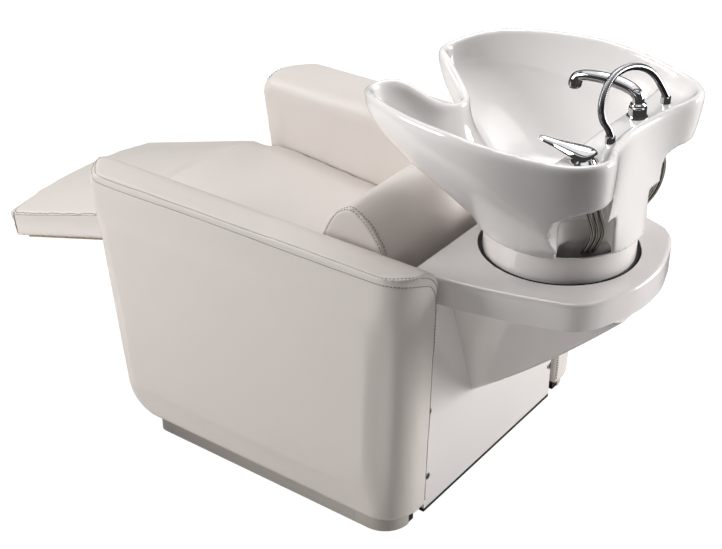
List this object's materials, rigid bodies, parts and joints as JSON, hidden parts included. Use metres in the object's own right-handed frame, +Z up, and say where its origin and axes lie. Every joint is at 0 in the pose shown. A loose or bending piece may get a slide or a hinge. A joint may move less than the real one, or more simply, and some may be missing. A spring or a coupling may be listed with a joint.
{
  "type": "hair washing bed",
  "caption": "Low upholstered reclining seat between two panel arms, with a hinged leg rest and a tilting ceramic neck-notch basin on a shelf behind a rolled backrest.",
  "frame": {"origin": "on the floor under the middle of the whole length and width (leg rest end to shelf end, arm to arm)", "axes": "+X across the seat towards the arm on the right of someone who sits in it facing -Y and looks back, -Y towards the feet, +Y towards the basin, +Z up"},
  "size_m": [0.75, 1.5622, 0.9905],
  "materials": {
    "upholstery": "soft satin",
    "plywood": "raw",
    "frame_steel": "satin powder coat",
    "zinc_steel": "zinc plated",
    "plinth_metal": "brushed",
    "plinth_block": "matt black",
    "moulding": "gloss",
    "ceramic": "glazed",
    "chrome": "polished",
    "rubber": "matt",
    "black_plastic": "matt",
    "braid": "woven"
  },
  "bodies": {
    "base": {"arm_pad_right": "upholstery", "arm_pad_left": "upholstery", "arm_board_right": "plywood", "arm_board_left": "plywood", "arm_bolts": "zinc_steel", "plinth_block_right": "plinth_block", "plinth_block_left": "plinth_block", "plinth_strip_right": "plinth_metal", "plinth_strip_left": "plinth_metal", "plinth_corners": "plinth_metal", "front_panel": "upholstery", "base_rail_right": "frame_steel", "base_rail_left": "frame_steel", "front_upright_right": "frame_steel", "front_upright_left": "frame_steel", "rear_upright_right": "frame_steel", "rear_upright_left": "frame_steel", "seat_rail_right": "frame_steel", "seat_rail_left": "frame_steel", "base_crosses": "frame_steel", "rear_skirt": "plinth_block", "top_cross": "frame_steel", "basin_arm_right": "frame_steel", "basin_arm_left": "frame_steel", "levelling_feet": "black_plastic", "seat_board": "plywood", "seat_cushion": "upholstery", "backrest_cushion": "upholstery", "backrest_board": "plywood", "hinge_bearings": "frame_steel", "actuator_body": "black_plastic", "rear_panel": "moulding", "panel_battens": "plywood", "rear_panel_screws": "zinc_steel", "belly_cover": "moulding", "shelf": "moulding", "basin_plate": "frame_steel", "collar": "moulding", "gap_seal": "rubber", "tilt_ears": "frame_steel", "tilt_shaft": "zinc_steel"},
    "leg_rest": {"leg_rest_cushion": "upholstery", "leg_rest_board": "plywood", "leg_rest_brackets": "frame_steel", "leg_rest_shaft": "zinc_steel"},
    "actuator_rod": {"actuator_rod": "zinc_steel"},
    "basin": {"tilt_cradle": "frame_steel", "bowl": "ceramic", "waste_fitting": "chrome", "bottle_trap": "black_plastic", "mixer_base": "chrome", "shower_socket": "chrome", "shower_hose": "chrome", "hose_ferrules": "chrome", "supply_hoses_right": "braid", "supply_hoses_left": "braid"},
    "mixer_stem": {"mixer_stem": "chrome"},
    "mixer_lever": {"mixer_lever": "chrome"},
    "hand_shower": {"hand_shower": "chrome", "spray_face": "black_plastic"}
  },
  "joints": [
    {"name": "leg_rest_hinge", "type": "hinge", "parent": "base", "child": "leg_rest", "pos_m": [0, -0.3829, 0.352], "axis": [1, 0, 0], "range_deg": [-12, 40]},
    {"name": "actuator_slide", "type": "slide", "parent": "base", "child": "actuator_rod", "axis": [0, 1, 0], "range_m": [-0.013, 0.0434]},
    {"name": "basin_tilt", "type": "hinge", "parent": "base", "child": "basin", "pos_m": [0, 0.5771, 0.6], "axis": [1, 0, 0], "range_deg": [-4, 8]},
    {"name": "mixer_swivel", "type": "hinge", "parent": "basin", "child": "mixer_stem", "pos_m": [0.158, 0.6961, 0.855], "axis": [0, 0, 1], "range_deg": [-50, 50]},
    {"name": "mixer_lift", "type": "hinge", "parent": "mixer_stem", "child": "mixer_lever", "pos_m": [0.158, 0.6961, 0.8538], "axis": [-1, 0, 0], "range_deg": [0, 18]},
    {"name": "hand_shower_lift", "type": "slide", "parent": "basin", "child": "hand_shower", "axis": [0, 0, 1], "range_m": [0, 0.12]}
  ],
  "couplings": [
    {"joint": "actuator_slide", "follows": "leg_rest_hinge", "m_per_rad": 0.0622}
  ]
}
